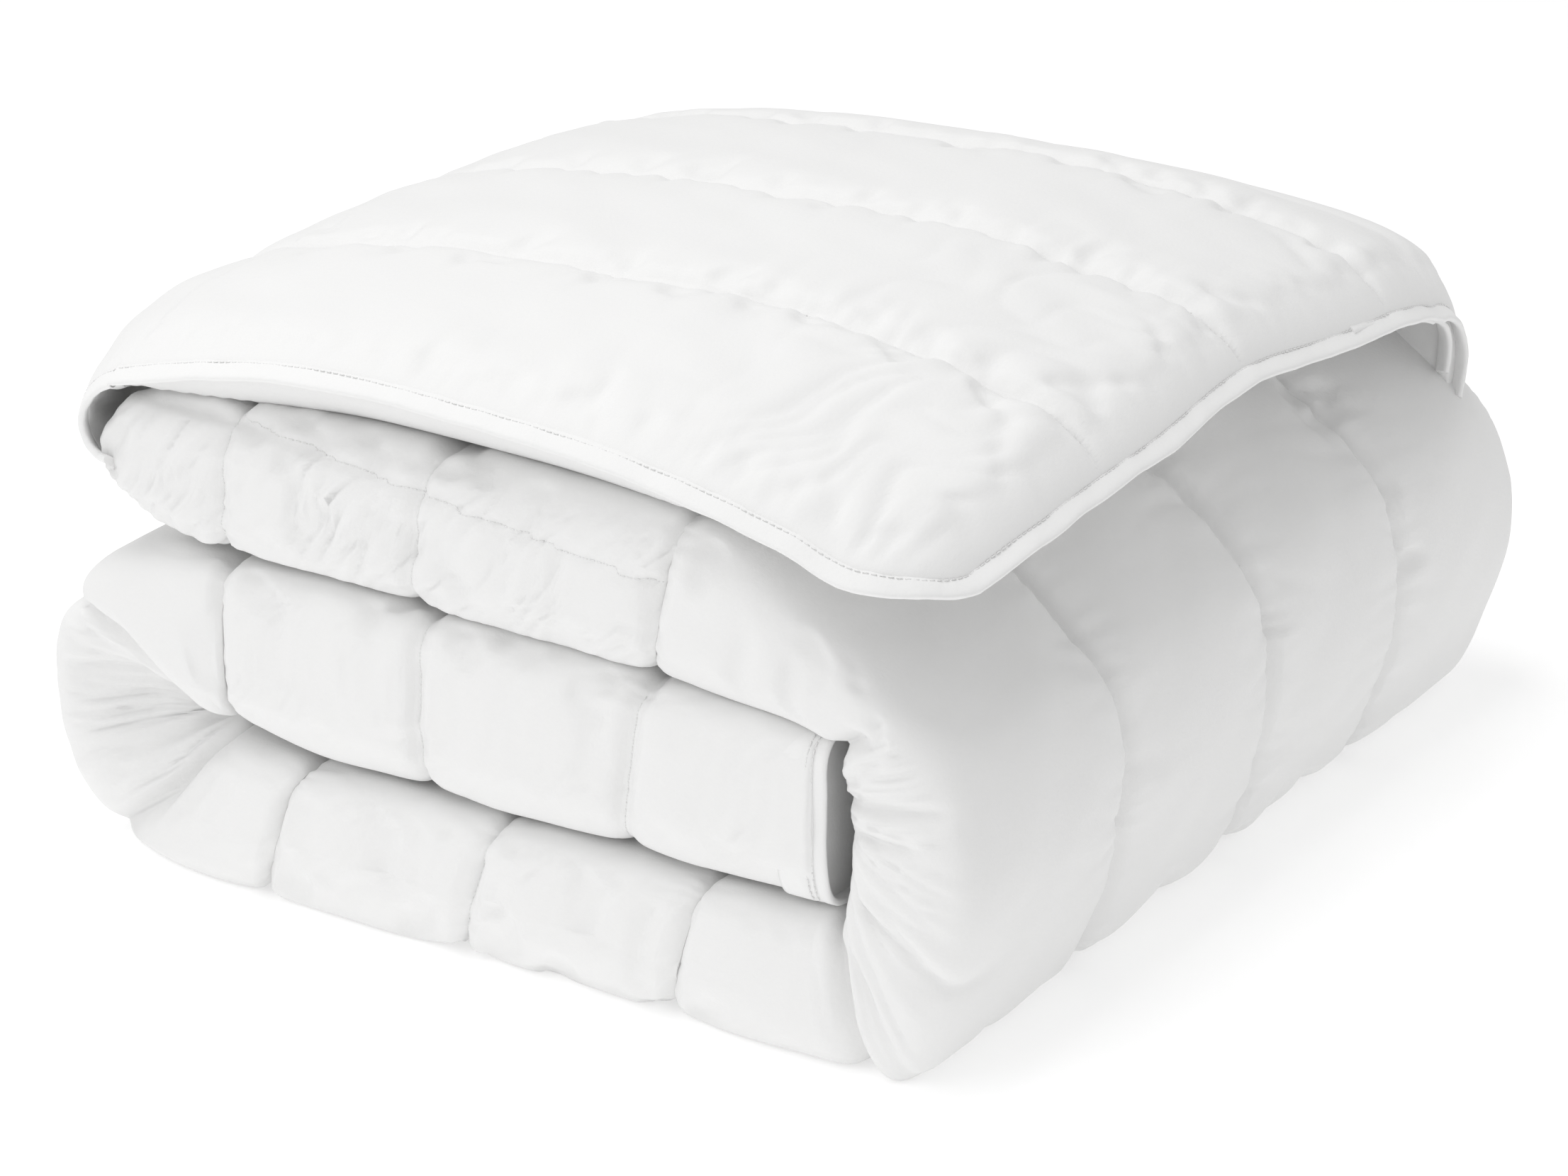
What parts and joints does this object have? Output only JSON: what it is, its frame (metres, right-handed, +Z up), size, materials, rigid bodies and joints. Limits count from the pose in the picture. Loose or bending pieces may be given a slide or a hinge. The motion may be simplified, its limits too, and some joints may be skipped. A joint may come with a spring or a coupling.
{
  "type": "folded duvet",
  "caption": "Quilted white duvet folded into a thick square stack, its bound free end laid back over the top as a flap that opens at one side.",
  "frame": {"origin": "on the surface the duvet rests on, under the middle of the folded stack's bounding box", "axes": "+X to the right along the front, away from the flap's fold; +Y to the back, along the flap's bound side edge; +Z up"},
  "size_m": [0.6, 0.66, 0.345],
  "materials": {
    "cover": "matt, soft, fine woven cotton",
    "filling": "matt, soft, lofty fibre",
    "thread": "soft sheen, twisted",
    "binding": "matt, woven tape",
    "label": "soft satin sheen"
  },
  "bodies": {
    "folded_stack": {"bottom_layer_cover": "cover", "bottom_layer_fill": "filling", "bottom_layer_stitching": "thread", "flap_fold_binding": "binding", "flap_fold_cover": "cover", "flap_fold_fill": "filling", "inner_layer_cover": "cover", "inner_layer_fill": "filling", "inner_layer_hem": "binding", "inner_layer_stitching": "thread", "left_fold_cover": "cover", "left_fold_fill": "filling", "left_fold_stitching": "thread", "right_wrap_cover": "cover", "right_wrap_fill": "filling", "right_wrap_stitching": "thread", "upper_layer_cover": "cover", "upper_layer_fill": "filling", "upper_layer_stitching": "thread"},
    "flap_near_fold": {"flap_near_fold_binding": "binding", "flap_near_fold_cover": "cover", "flap_near_fold_fill": "filling", "flap_near_fold_stitching": "thread"},
    "flap_end": {"flap_end_binding": "binding", "flap_end_cover": "cover", "flap_end_fill": "filling", "flap_end_lower_binding": "binding", "flap_end_stitching": "thread", "care_label": "label"}
  },
  "joints": [
    {"name": "flap_open", "type": "hinge", "parent": "folded_stack", "child": "flap_near_fold", "pos_m": [-0.277, 0, 0.28475], "axis": [0, -1, 0], "range_deg": [0, 180], "deforming": ["flap_fold_binding", "flap_fold_cover", "flap_fold_fill"]},
    {"name": "flap_bend", "type": "hinge", "parent": "flap_near_fold", "child": "flap_end", "pos_m": [0, 0, 0.346], "axis": [0, -1, 0], "range_deg": [0, 51]}
  ],
  "couplings": [
    {"joint": "flap_bend", "follows": "flap_open", "ratio": 0.2778}
  ]
}
